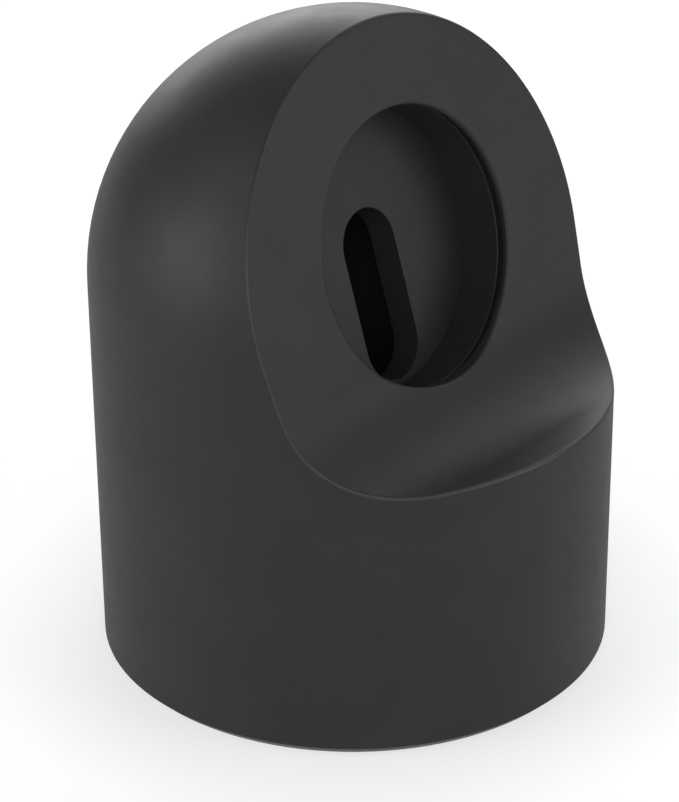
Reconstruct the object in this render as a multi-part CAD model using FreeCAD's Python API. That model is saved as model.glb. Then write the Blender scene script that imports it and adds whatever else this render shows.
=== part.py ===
"""Smartwatch charging dock: one piece moulded in soft silicone rubber.

A round column ends in a half-ball dome. A scoop cut through its front leaves a
leaning face, a hollow blend and a nearly level ledge. A round seat sunk into the
face holds a round charging puck, and its lead drops through a slot in the seat's
floor into a cavity that opens under the dock and through an arch at the back.

Frame: millimetres, origin at the centre of the underside, +Z up, front at -Y.
"""
import FreeCAD
import Part
import math
import os
from FreeCAD import Vector

# Column and dome
column_diameter = 53.0
dock_height = 67.0
base_edge_bevel = 0.9

# Scoop cut through the front
face_lean = 16.8          # degrees that the face leans back from upright
seat_forward = 8.4        # seat centre on the face, in front of the column's axis
seat_below_top = 21.7     # seat centre under the top of the dome
ledge_below_seat = 16.5   # ledge at the front of the column, under the seat centre
ledge_rise = 5.3          # degrees that the ledge climbs towards the front
blend_radius = 10.8       # hollow between face and ledge
outline_round = 0.4       # edge all round the scoop

# Seat for the charging puck
puck_diameter = 28.0
seat_clearance = 0.2      # on the radius, round the puck
lip_grip = 0.2            # how far the lip reaches in over the puck
mouth_round = 0.4
lip_straight = 0.25       # the lip's upright wall, under the mouth's round
groove_bottom = 1.75      # under the face; the lip's underside slopes out to it
groove_depth = 0.25       # how far the groove goes into the seat's wall
seat_edge_bevel = 0.06    # where the seat's wall meets the groove
seat_depth = 6.45

# Slot for the lead and the wall behind it
slot_width = 7.8
slot_rise = 0.15          # centre of the slot's upper end, above the seat centre
slot_end_gap = 0.5        # from the slot's lower end to the seat's wall
seat_floor_thickness = 3.2

# Lead cavity under and behind the seat
cavity_width = 19.0
cavity_headroom = 5.0     # above the slot's upper end
cavity_rear_wall = 9.5    # rubber between cavity and the back of the column
cavity_corner_round = 3.0

# Arch where the lead leaves at the back
exit_width = 8.0
exit_height = 7.5
exit_edge_round = 0.6     # round the arch, on the outside

column_radius = column_diameter / 2
dome_centre_height = dock_height - column_radius
dome_centre = Vector(0, 0, dome_centre_height)
seat_radius = puck_diameter / 2 + seat_clearance
mouth_radius = puck_diameter / 2 - lip_grip
groove_radius = seat_radius + groove_depth
slot_radius = slot_width / 2
slot_reach = seat_radius - slot_end_gap - slot_radius     # lower end's centre, below the seat's
cavity_rear = column_radius - cavity_rear_wall
exit_radius = exit_width / 2
exit_springing = exit_height - exit_radius      # where the arch's round top begins
beyond = column_diameter      # how far cutting solids reach past the column

lean = math.radians(face_lean)
rise = math.radians(ledge_rise)
face_out = Vector(0, -math.cos(lean), math.sin(lean))
face_down = Vector(0, -math.sin(lean), -math.cos(lean))
ledge_out = Vector(0, -math.cos(rise), math.sin(rise))
seat_centre = Vector(0, -seat_forward, dock_height - seat_below_top)
ledge_front = Vector(0, -column_radius, seat_centre.z - ledge_below_seat)
near = 1e-4                   # two places count as the same within this


def corner_of_scoop():
    """Where the face and the ledge would meet with no blend between them."""
    across = ledge_front - seat_centre
    turn = face_down.y * ledge_out.z - face_down.z * ledge_out.y
    along = (across.y * ledge_out.z - across.z * ledge_out.y) / turn
    return seat_centre + face_down * along


def blend_ends():
    """End of the flat face, centre of the blend, and start of the ledge."""
    corner = corner_of_scoop()
    turned = face_down.getAngle(ledge_out)
    setback = blend_radius * math.tan(turned / 2)
    face_end = corner - face_down * setback
    ledge_start = corner + ledge_out * setback
    centre = face_end + face_out * blend_radius
    return face_end, centre, ledge_start


def column_with_dome():
    """Solid of revolution: flat underside, straight wall and half-ball top."""
    slope = math.sqrt(0.5)
    dome_middle = Vector(column_radius * slope, 0, dome_centre_height + column_radius * slope)
    on_axis = Vector(0, 0, 0)
    foot = Vector(column_radius, 0, 0)
    dome_start = Vector(column_radius, 0, dome_centre_height)
    top = Vector(0, 0, dock_height)
    outline = Part.Wire([
        Part.makeLine(on_axis, foot),
        Part.makeLine(foot, dome_start),
        Part.Arc(dome_start, dome_middle, top).toShape(),
        Part.makeLine(top, on_axis),
    ])
    half_section = Part.Face(outline)
    return half_section.revolve(Vector(0, 0, 0), Vector(0, 0, 1), 360)


def foot_bevel():
    """Ring that takes the sharp edge off the foot, at 45 degrees."""
    inner = column_radius - base_edge_bevel
    corners = [
        Vector(inner - base_edge_bevel, 0, -base_edge_bevel),
        Vector(column_radius + base_edge_bevel, 0, -base_edge_bevel),
        Vector(column_radius + base_edge_bevel, 0, 2 * base_edge_bevel),
        Vector(inner - base_edge_bevel, 0, -base_edge_bevel),
    ]
    half_section = Part.Face(Part.makePolygon(corners))
    return half_section.revolve(Vector(0, 0, 0), Vector(0, 0, 1), 360)


def scoop():
    """Solid that cuts the leaning face, the blend and the ledge, right across the column."""
    face_end, centre, ledge_start = blend_ends()
    blend_middle = centre - (face_out + ledge_up()).normalize() * blend_radius
    face_top = seat_centre - face_down * beyond
    ledge_end = ledge_front + ledge_out * beyond
    high_front = Vector(0, ledge_end.y, face_top.z)
    outline = Part.Wire([
        Part.makeLine(face_top, face_end),
        Part.Arc(face_end, blend_middle, ledge_start).toShape(),
        Part.makeLine(ledge_start, ledge_end),
        Part.makeLine(ledge_end, high_front),
        Part.makeLine(high_front, face_top),
    ])
    section = Part.Face(outline)
    section.translate(Vector(-beyond, 0, 0))
    return section.extrude(Vector(2 * beyond, 0, 0))


def ledge_up():
    """Direction square to the ledge, away from the rubber."""
    return Vector(0, math.sin(rise), math.cos(rise))


def on_scoop(place):
    """True where a place lies on the leaning face, the blend or the ledge."""
    face_end, centre, ledge_start = blend_ends()
    flat = Vector(0, place.y, place.z)
    on_face = abs((flat - seat_centre).dot(face_out)) < near
    on_ledge = abs((flat - ledge_front).dot(ledge_up())) < near
    on_blend = abs((flat - centre).Length - blend_radius) < near
    past_face = (flat - face_end).dot(face_down) > near
    before_ledge = (flat - ledge_start).dot(ledge_out) < -near
    if past_face and before_ledge:
        return on_blend
    if past_face:
        return on_ledge
    return on_face


def on_outside(place):
    """True where a place lies on the dome or the column's wall."""
    from_axis = math.hypot(place.x, place.y)
    if place.z > dome_centre_height:
        return abs((place - dome_centre).Length - column_radius) < near
    return abs(from_axis - column_radius) < near


def on_arch(place):
    """True where a place lies on the wall or crown of the lead's arch."""
    if place.y < 0:
        return False
    if place.z > exit_springing:
        from_middle = math.hypot(place.x, place.z - exit_springing)
        return abs(from_middle - exit_radius) < near
    return abs(abs(place.x) - exit_radius) < near


def on_mouth(place):
    """True where a place lies on the wall of the seat's lip."""
    along = (place - seat_centre).dot(face_out)
    off_axis = place - seat_centre - face_out * along
    return abs(off_axis.Length - mouth_radius) < near


def edges_where(solid, *tests):
    """Edges of a solid whose every sampled place passes all the tests."""
    found = []
    for edge in solid.Edges:
        if edge.Degenerated:
            continue
        places = edge.discretize(9)
        if all(test(place) for test in tests for place in places):
            found.append(edge)
    return found


def turned_to_seat(solid):
    """Moves a solid drawn along +Z at the origin onto the seat's axis, +Z out of the face."""
    tilt = FreeCAD.Rotation(Vector(0, 0, 1), face_out)
    solid.Placement = FreeCAD.Placement(seat_centre, tilt)
    return solid


def seat():
    """Round pocket: lip, groove under the lip, bevelled edge, straight wall and flat floor."""
    corners = [
        Vector(0, 0, blend_radius),
        Vector(mouth_radius, 0, blend_radius),
        Vector(mouth_radius, 0, -mouth_round - lip_straight),
        Vector(groove_radius, 0, -groove_bottom),
        Vector(seat_radius + seat_edge_bevel, 0, -groove_bottom),
        Vector(seat_radius, 0, -groove_bottom - seat_edge_bevel),
        Vector(seat_radius, 0, -seat_depth),
        Vector(0, 0, -seat_depth),
        Vector(0, 0, blend_radius),
    ]
    half_section = Part.Face(Part.makePolygon(corners))
    pocket = half_section.revolve(Vector(0, 0, 0), Vector(0, 0, 1), 360)
    return turned_to_seat(pocket)


def slot():
    """Long hole with round ends through the seat's floor, from the centre downwards."""
    start = -seat_depth + slot_radius
    upper_left = Vector(-slot_radius, slot_rise, start)
    upper_top = Vector(0, slot_rise + slot_radius, start)
    upper_right = Vector(slot_radius, slot_rise, start)
    lower_right = Vector(slot_radius, -slot_reach, start)
    lower_end = Vector(0, -slot_reach - slot_radius, start)
    lower_left = Vector(-slot_radius, -slot_reach, start)
    outline = Part.Wire([
        Part.Arc(upper_left, upper_top, upper_right).toShape(),
        Part.makeLine(upper_right, lower_right),
        Part.Arc(lower_right, lower_end, lower_left).toShape(),
        Part.makeLine(lower_left, upper_left),
    ])
    depth = seat_floor_thickness + 2 * slot_radius
    return turned_to_seat(Part.Face(outline).extrude(Vector(0, 0, -depth)))


def cavity_ceiling():
    """Height of the cavity's ceiling above the underside."""
    behind_floor = seat_centre - face_out * (seat_depth + seat_floor_thickness)
    slot_top = behind_floor - face_down * (slot_rise + slot_radius)
    return slot_top.z + cavity_headroom


def cavity_front(height):
    """Place on the cavity's front wall, which runs parallel to the seat's floor."""
    behind_floor = seat_centre - face_out * (seat_depth + seat_floor_thickness)
    along = (behind_floor.z - height) / -face_down.z
    return behind_floor + face_down * along


def cavity():
    """Pocket from the underside up behind the seat, with round upright corners."""
    below = -cavity_corner_round
    ceiling = cavity_ceiling()
    corners = [
        cavity_front(below),
        cavity_front(ceiling),
        Vector(0, cavity_rear, ceiling),
        Vector(0, cavity_rear, below),
        cavity_front(below),
    ]
    section = Part.Face(Part.makePolygon(corners))
    section.translate(Vector(-cavity_width / 2, 0, 0))
    block = section.extrude(Vector(cavity_width, 0, 0))
    low = below + near
    upright = [edge for edge in block.Edges if edge.BoundBox.ZMin < low < edge.BoundBox.ZMax]
    return block.makeFillet(cavity_corner_round, upright)


def lead_exit():
    """Arch through the rear wall, open at the underside."""
    start = cavity_rear - cavity_corner_round
    lower_left = Vector(-exit_radius, start, -exit_radius)
    upper_left = Vector(-exit_radius, start, exit_springing)
    crown = Vector(0, start, exit_height)
    upper_right = Vector(exit_radius, start, exit_springing)
    lower_right = Vector(exit_radius, start, -exit_radius)
    outline = Part.Wire([
        Part.makeLine(lower_left, upper_left),
        Part.Arc(upper_left, crown, upper_right).toShape(),
        Part.makeLine(upper_right, lower_right),
        Part.makeLine(lower_right, lower_left),
    ])
    return Part.Face(outline).extrude(Vector(0, beyond, 0))


def dock_body():
    """The whole dock."""
    body = column_with_dome().cut(scoop())
    body = body.makeFillet(outline_round, edges_where(body, on_scoop, on_outside))
    body = body.cut(seat())
    body = body.makeFillet(mouth_round, edges_where(body, on_scoop, on_mouth))
    body = body.cut([cavity(), lead_exit()])
    body = body.makeFillet(exit_edge_round, edges_where(body, on_arch, on_outside))
    body = body.cut([foot_bevel(), slot()])
    return body.removeSplitter().Solids[0]


os.makedirs("parts", exist_ok=True)
dock = dock_body()
dock.exportStep("parts/dock_body.step")
print("dock_body valid:", dock.isValid(), "volume in cubic mm:", round(dock.Volume))
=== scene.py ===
"""A charcoal silicone smartwatch charging dock, seen from its front left on a white table."""
import math

import bpy
from mathutils import Matrix, Vector

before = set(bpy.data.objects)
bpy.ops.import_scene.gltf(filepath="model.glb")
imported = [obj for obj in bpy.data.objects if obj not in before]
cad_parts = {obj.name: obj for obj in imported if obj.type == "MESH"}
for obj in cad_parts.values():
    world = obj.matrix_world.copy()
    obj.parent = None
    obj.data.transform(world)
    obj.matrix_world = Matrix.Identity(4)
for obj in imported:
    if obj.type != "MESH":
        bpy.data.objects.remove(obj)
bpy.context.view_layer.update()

# Shape of the dock, in metres: column, dome, leaning face, hollow blend and ledge
column_radius = 0.0265
dome_centre_height = 0.0405
face_lean = math.radians(16.8)
seat_place = Vector((0, -0.0084, 0.0453))
ledge_rise = math.radians(5.3)
ledge_place = Vector((0, -column_radius, 0.0288))
blend_radius = 0.0108

# Camera, measured round the dock: it stands in front and to the left and looks down
photo_height = 802
camera_azimuth = math.radians(-50.39)
camera_elevation = math.radians(26.4)
camera_roll = math.radians(-0.51)
camera_distance = 10.804 * column_radius
camera_aside = -0.0544 * column_radius
look_height = 0.9743 * column_radius
focal_pixels = 2796.4
sensor_height = 36.0

# Lamps: azimuth from the camera's side towards image right, elevation, width, height, level
lamp_distance = 1.0
lamp_look_height = 0.03
lamps = {
    "left": (285, 12, 0.80, 0.42, 0.252),
    "high_left": (288, 40, 0.70, 0.70, 0.103),
    "right": (75, 12, 0.80, 0.42, 0.148),
    "high_right": (72, 40, 0.70, 0.70, 0.133),
    "front": (0, 24, 0.70, 0.70, 0.270),
    "behind_left": (195, 12, 0.80, 0.42, 0.193),
    "behind": (180, 24, 0.70, 0.70, 0.171),
    "behind_right": (157.5, 24, 0.70, 0.70, 0.125),
    "high_behind_right": (144, 40, 0.70, 0.70, 0.074),
}
room_level = 0.147

# Table: it glows a little, more so to the camera away from the foot, and is dark below the dock
table_size = 8
table_grey = (0.45, 0.45, 0.45, 1)
table_glow = 0.25
table_lift_at_foot = 0.385
table_lift_away = 0.495
lift_full_at = 0.040
table_dark_to = 0.0240
table_lit_from = 0.0256

# Silicone: colours, and noise sizes as repeats in a metre
silicone_darker = (0.0313, 0.0315, 0.0318, 1)
silicone_lighter = (0.0357, 0.0356, 0.0354, 1)
# Pale grey painted on the rounded outline and the foot's bevel as a highlight
silicone_painted_highlight = (0.16, 0.16, 0.16, 1)
silicone_specular = 0.33
smoothest = 0.425
roughest = 0.475
mottle_scale = 140
gloss_scale = 420
# Size of the noise that breaks up the painted edge highlights
highlight_breakup_scale = 900
grain_scale = 4200
grain_depth = 0.00002
grain_strength = 0.35

# Spans of noise, which stays near 0.5, that a map stretches
noise_middle = (0.35, 0.65)
noise_wide = (0.3, 0.7)

# Rounded outline of the scoop: the least depths under its two surfaces, past the facets
# that lie up to 0.02 mm under the true surface, and the most, as deeper in is the seat
outline_starts_under = 0.000022
outline_full_under = 0.00006
outline_ends_under = 0.0008

# Painted highlight on that outline: how far it is painted pale, how much smoother it gets, and
# the heights between which the painted paleness fades over the dome
outline_painted_highlight = 0.34
outline_smoothing = 0.15
highlight_fades_from = 0.048
highlight_gone_at = 0.061

# Painted highlight on the foot's bevel: heights and distances from the axis where its paleness
# fades
foot_highlight_to = 0.0007
foot_highlight_gone_at = 0.0010
foot_highlight_from_axis = 0.0250
foot_highlight_full_from_axis = 0.0254
# Least share of the painted edge highlights that the breakup noise keeps
highlight_breakup_keep = 0.75


def add_camera():
    """Camera at the photograph's angle, distance and lens."""
    forward = Vector((
        -math.sin(camera_azimuth) * math.cos(camera_elevation),
        math.cos(camera_azimuth) * math.cos(camera_elevation),
        -math.sin(camera_elevation),
    ))
    level_right = Vector((math.cos(camera_azimuth), math.sin(camera_azimuth), 0))
    place = Vector((0, 0, look_height)) + level_right * camera_aside - forward * camera_distance
    turn = Matrix.Rotation(camera_roll, 3, -forward)
    right = turn @ level_right
    upward = right.cross(forward)
    data = bpy.data.cameras.new("photo_camera")
    data.sensor_fit = "VERTICAL"
    data.sensor_height = sensor_height
    data.lens = focal_pixels * sensor_height / photo_height
    data.clip_start = 0.01
    camera = bpy.data.objects.new("photo_camera", data)
    bpy.context.scene.collection.objects.link(camera)
    camera.matrix_world = Matrix((right, upward, -forward)).transposed().to_4x4()
    camera.location = place
    bpy.context.scene.camera = camera
    return forward, level_right


def add_lamp(name, azimuth, elevation, width, height, level):
    """Soft lamp that looks at the dock; a level of 1 lights white paper to full white."""
    turn = math.radians(azimuth)
    rise = math.radians(elevation)
    level_way = toward_camera * math.cos(turn) + view_right * math.sin(turn)
    way = level_way * math.cos(rise) + Vector((0, 0, 1)) * math.sin(rise)
    data = bpy.data.lights.new(name, "AREA")
    data.shape = "ELLIPSE"
    data.size = width
    data.size_y = height
    data.energy = level * (math.pi * lamp_distance) ** 2
    lamp = bpy.data.objects.new(name, data)
    bpy.context.scene.collection.objects.link(lamp)
    lamp.location = Vector((0, 0, lamp_look_height)) + way * lamp_distance
    lamp.rotation_euler = (-way).to_track_quat("-Z", "Y").to_euler()
    lamp.visible_camera = False


def math_node(nodes, links, operation, first, second):
    """Math node between two sockets, or a socket and a number."""
    node = nodes.new("ShaderNodeMath")
    node.operation = operation
    for socket, value in zip(node.inputs, (first, second)):
        if isinstance(value, float):
            socket.default_value = value
        else:
            links.new(value, socket)
    return node.outputs[0]


def vector_node(nodes, links, operation, vector, other):
    """Vector math node between a vector socket and a fixed vector."""
    node = nodes.new("ShaderNodeVectorMath")
    node.operation = operation
    node.inputs[1].default_value = other
    links.new(vector, node.inputs[0])
    return node.outputs["Value" if operation == "DOT_PRODUCT" else "Vector"]


def length_of(nodes, links, vector):
    """Length of a vector socket."""
    node = nodes.new("ShaderNodeVectorMath")
    node.operation = "LENGTH"
    links.new(vector, node.inputs[0])
    return node.outputs["Value"]


def map_range(nodes, links, value, low, high, to_low, to_high, smooth=False):
    """A value mapped from one span to another, and held at the ends."""
    node = nodes.new("ShaderNodeMapRange")
    if smooth:
        node.interpolation_type = "SMOOTHSTEP"
    node.inputs["From Min"].default_value = low
    node.inputs["From Max"].default_value = high
    node.inputs["To Min"].default_value = to_low
    node.inputs["To Max"].default_value = to_high
    links.new(value, node.inputs["Value"])
    return node.outputs["Result"]


def choose(nodes, links, factor, when_0, when_1):
    """The first value where the factor is 0, and the second where it is 1."""
    node = nodes.new("ShaderNodeMix")
    links.new(factor, node.inputs["Factor"])
    links.new(when_0, node.inputs["A"])
    links.new(when_1, node.inputs["B"])
    return node.outputs["Result"]


def noise(nodes, links, place, scale, detail, roughness=0.5):
    """Noise over the dock's own metres."""
    node = nodes.new("ShaderNodeTexNoise")
    node.inputs["Scale"].default_value = scale
    node.inputs["Detail"].default_value = detail
    node.inputs["Roughness"].default_value = roughness
    links.new(place, node.inputs["Vector"])
    return node.outputs["Fac"]


def white_room():
    """White to the camera, and a soft even light on everything else."""
    world = bpy.data.worlds.new("white_room")
    world.use_nodes = True
    bpy.context.scene.world = world
    nodes = world.node_tree.nodes
    links = world.node_tree.links
    background = nodes["Background"]
    background.inputs["Color"].default_value = (1, 1, 1, 1)
    path = nodes.new("ShaderNodeLightPath")
    level = map_range(nodes, links, path.outputs["Is Camera Ray"], 0, 1, room_level, 1)
    links.new(level, background.inputs["Strength"])


def white_table():
    """Large plain table, softly lit from below except under the dock's foot."""
    bpy.ops.mesh.primitive_plane_add(size=table_size)
    table = bpy.context.object
    table.name = "table"
    material = bpy.data.materials.new("white_table")
    material.use_nodes = True
    nodes = material.node_tree.nodes
    links = material.node_tree.links
    shader = nodes["Principled BSDF"]
    shader.inputs["Base Color"].default_value = table_grey
    shader.inputs["Roughness"].default_value = 1.0
    shader.inputs["Specular IOR Level"].default_value = 0.0
    shader.inputs["Emission Color"].default_value = (1, 1, 1, 1)
    coordinates = nodes.new("ShaderNodeTexCoord")
    from_axis = length_of(nodes, links, coordinates.outputs["Object"])
    lift = map_range(
        nodes, links, from_axis,
        column_radius, lift_full_at, table_lift_at_foot, table_lift_away)
    path = nodes.new("ShaderNodeLightPath")
    seen_lift = math_node(nodes, links, "MULTIPLY", lift, path.outputs["Is Camera Ray"])
    glow = math_node(nodes, links, "ADD", seen_lift, table_glow)
    open_table = map_range(
        nodes, links, from_axis, table_dark_to, table_lit_from, 0, 1, smooth=True)
    strength = math_node(nodes, links, "MULTIPLY", glow, open_table)
    links.new(strength, shader.inputs["Emission Strength"])
    table.data.materials.append(material)


def depth_under_scoop(nodes, links, place):
    """Depth of a place under the scoop's own surface: face, hollow blend and ledge."""
    face_out = Vector((0, -math.cos(face_lean), math.sin(face_lean)))
    face_down = Vector((0, -math.sin(face_lean), -math.cos(face_lean)))
    ledge_up = Vector((0, math.sin(ledge_rise), math.cos(ledge_rise)))
    ledge_out = Vector((0, -math.cos(ledge_rise), math.sin(ledge_rise)))
    turned = face_down.angle(ledge_out)
    reach = (ledge_place - seat_place).dot(ledge_up) / face_down.dot(ledge_up)
    corner = seat_place + face_down * reach
    setback = blend_radius * math.tan(turned / 2)
    blend_centre = corner - face_down * setback + face_out * blend_radius
    blend_span = setback * math.sin(turned)

    from_seat = vector_node(nodes, links, "SUBTRACT", place, seat_place)
    from_ledge = vector_node(nodes, links, "SUBTRACT", place, ledge_place)
    from_blend = vector_node(nodes, links, "SUBTRACT", place, blend_centre)
    across_blend = vector_node(nodes, links, "MULTIPLY", from_blend, (0, 1, 1))
    under_face = vector_node(nodes, links, "DOT_PRODUCT", from_seat, -face_out)
    under_ledge = vector_node(nodes, links, "DOT_PRODUCT", from_ledge, -ledge_up)
    under_blend = math_node(
        nodes, links, "SUBTRACT", length_of(nodes, links, across_blend), blend_radius)
    at_face = math_node(nodes, links, "LESS_THAN", under_ledge, -blend_span)
    at_ledge = math_node(nodes, links, "LESS_THAN", under_face, -blend_span)
    under_low_part = choose(nodes, links, at_ledge, under_blend, under_ledge)
    return choose(nodes, links, at_face, under_low_part, under_face)


def depth_under_outside(nodes, links, place):
    """Depth of a place under the plain column with its dome."""
    from_dome = vector_node(nodes, links, "SUBTRACT", place, (0, 0, dome_centre_height))
    # Below the dome only the distance from the axis counts
    above = vector_node(nodes, links, "MAXIMUM", from_dome, (-1, -1, 0))
    return math_node(nodes, links, "SUBTRACT", column_radius, length_of(nodes, links, above))


def rounded_outline(nodes, links, place):
    """1 on the rounded edge all round the scoop, and 0 on the faces beside it.

    There alone a place lies just under both the scoop's surface and the outside.
    """
    under_scoop = depth_under_scoop(nodes, links, place)
    under_outside = depth_under_outside(nodes, links, place)
    least = math_node(nodes, links, "MINIMUM", under_scoop, under_outside)
    most = math_node(nodes, links, "MAXIMUM", under_scoop, under_outside)
    off_the_faces = map_range(
        nodes, links, least, outline_starts_under, outline_full_under, 0, 1, smooth=True)
    near_the_edge = math_node(nodes, links, "LESS_THAN", most, outline_ends_under)
    return math_node(nodes, links, "MULTIPLY", off_the_faces, near_the_edge)


def painted_edge_highlights(nodes, links, place, outline):
    """How far the foot's bevel and the lower part of the outline are painted pale, as a painted
    highlight.
    """
    axes = nodes.new("ShaderNodeSeparateXYZ")
    links.new(place, axes.inputs[0])
    height = axes.outputs["Z"]
    flat_place = vector_node(nodes, links, "MULTIPLY", place, (1, 1, 0))
    from_axis = length_of(nodes, links, flat_place)
    low_down = map_range(nodes, links, height, foot_highlight_to, foot_highlight_gone_at, 1, 0, smooth=True)
    outermost = map_range(
        nodes, links, from_axis, foot_highlight_from_axis, foot_highlight_full_from_axis, 0, 1, smooth=True)
    foot_highlight = math_node(nodes, links, "MULTIPLY", low_down, outermost)
    reached = map_range(
        nodes, links, height, highlight_fades_from, highlight_gone_at, outline_painted_highlight, 0, smooth=True)
    outline_highlight = math_node(nodes, links, "MULTIPLY", outline, reached)
    edges = math_node(nodes, links, "MAXIMUM", foot_highlight, outline_highlight)
    # Noise breaks up the painted highlights
    highlight_breakup = noise(nodes, links, place, highlight_breakup_scale, 4, 0.6)
    broken_up_highlight = map_range(nodes, links, highlight_breakup, *noise_wide, highlight_breakup_keep, 1)
    return math_node(nodes, links, "MULTIPLY", edges, broken_up_highlight)


def mix_colours(nodes, links, factor, first, second):
    """Colour mix node; its colours are sockets or fixed colours."""
    node = nodes.new("ShaderNodeMix")
    node.data_type = "RGBA"
    links.new(factor, node.inputs["Factor"])
    for socket, value in ((node.inputs["A"], first), (node.inputs["B"], second)):
        if isinstance(value, tuple):
            socket.default_value = value
        else:
            links.new(value, socket)
    return node.outputs["Result"]


def silicone():
    """Matt charcoal silicone: a fine moulded grain, faint mottling and edges painted paler as a
    highlight.
    """
    material = bpy.data.materials.new("silicone")
    material.use_nodes = True
    nodes = material.node_tree.nodes
    links = material.node_tree.links
    shader = nodes["Principled BSDF"]
    shader.inputs["Specular IOR Level"].default_value = silicone_specular
    place = nodes.new("ShaderNodeTexCoord").outputs["Object"]
    outline = rounded_outline(nodes, links, place)

    # Colour: slow mottling, then the painted highlight on the rounded outline and the foot's
    # bevel
    mottle = noise(nodes, links, place, mottle_scale, 3)
    mottle = map_range(nodes, links, mottle, *noise_middle, 0, 1)
    mottled = mix_colours(nodes, links, mottle, silicone_darker, silicone_lighter)
    painted_highlight = painted_edge_highlights(nodes, links, place, outline)
    colour = mix_colours(nodes, links, painted_highlight, mottled, silicone_painted_highlight)
    links.new(colour, shader.inputs["Base Color"])

    # Gloss: a little uneven, as handled rubber is, and smoother on the rounded outline
    gloss = noise(nodes, links, place, gloss_scale, 4, 0.6)
    roughness = map_range(nodes, links, gloss, *noise_wide, smoothest, roughest)
    smoothed = math_node(nodes, links, "MULTIPLY", outline, outline_smoothing)
    roughness = math_node(nodes, links, "SUBTRACT", roughness, smoothed)
    links.new(roughness, shader.inputs["Roughness"])

    # Grain: the moulding tool's fine matt texture
    relief = nodes.new("ShaderNodeBump")
    relief.inputs["Strength"].default_value = grain_strength
    relief.inputs["Distance"].default_value = grain_depth
    links.new(noise(nodes, links, place, grain_scale, 2, 0.6), relief.inputs["Height"])
    links.new(relief.outputs["Normal"], shader.inputs["Normal"])
    return material


view_forward, view_right = add_camera()
toward_camera = Vector((-view_forward.x, -view_forward.y, 0)).normalized()
for name, lamp in lamps.items():
    add_lamp(name, *lamp)
white_room()
white_table()

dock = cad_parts["dock_body"]
dock.data.materials.clear()
dock.data.materials.append(silicone())

bpy.context.scene.view_settings.view_transform = "Standard"
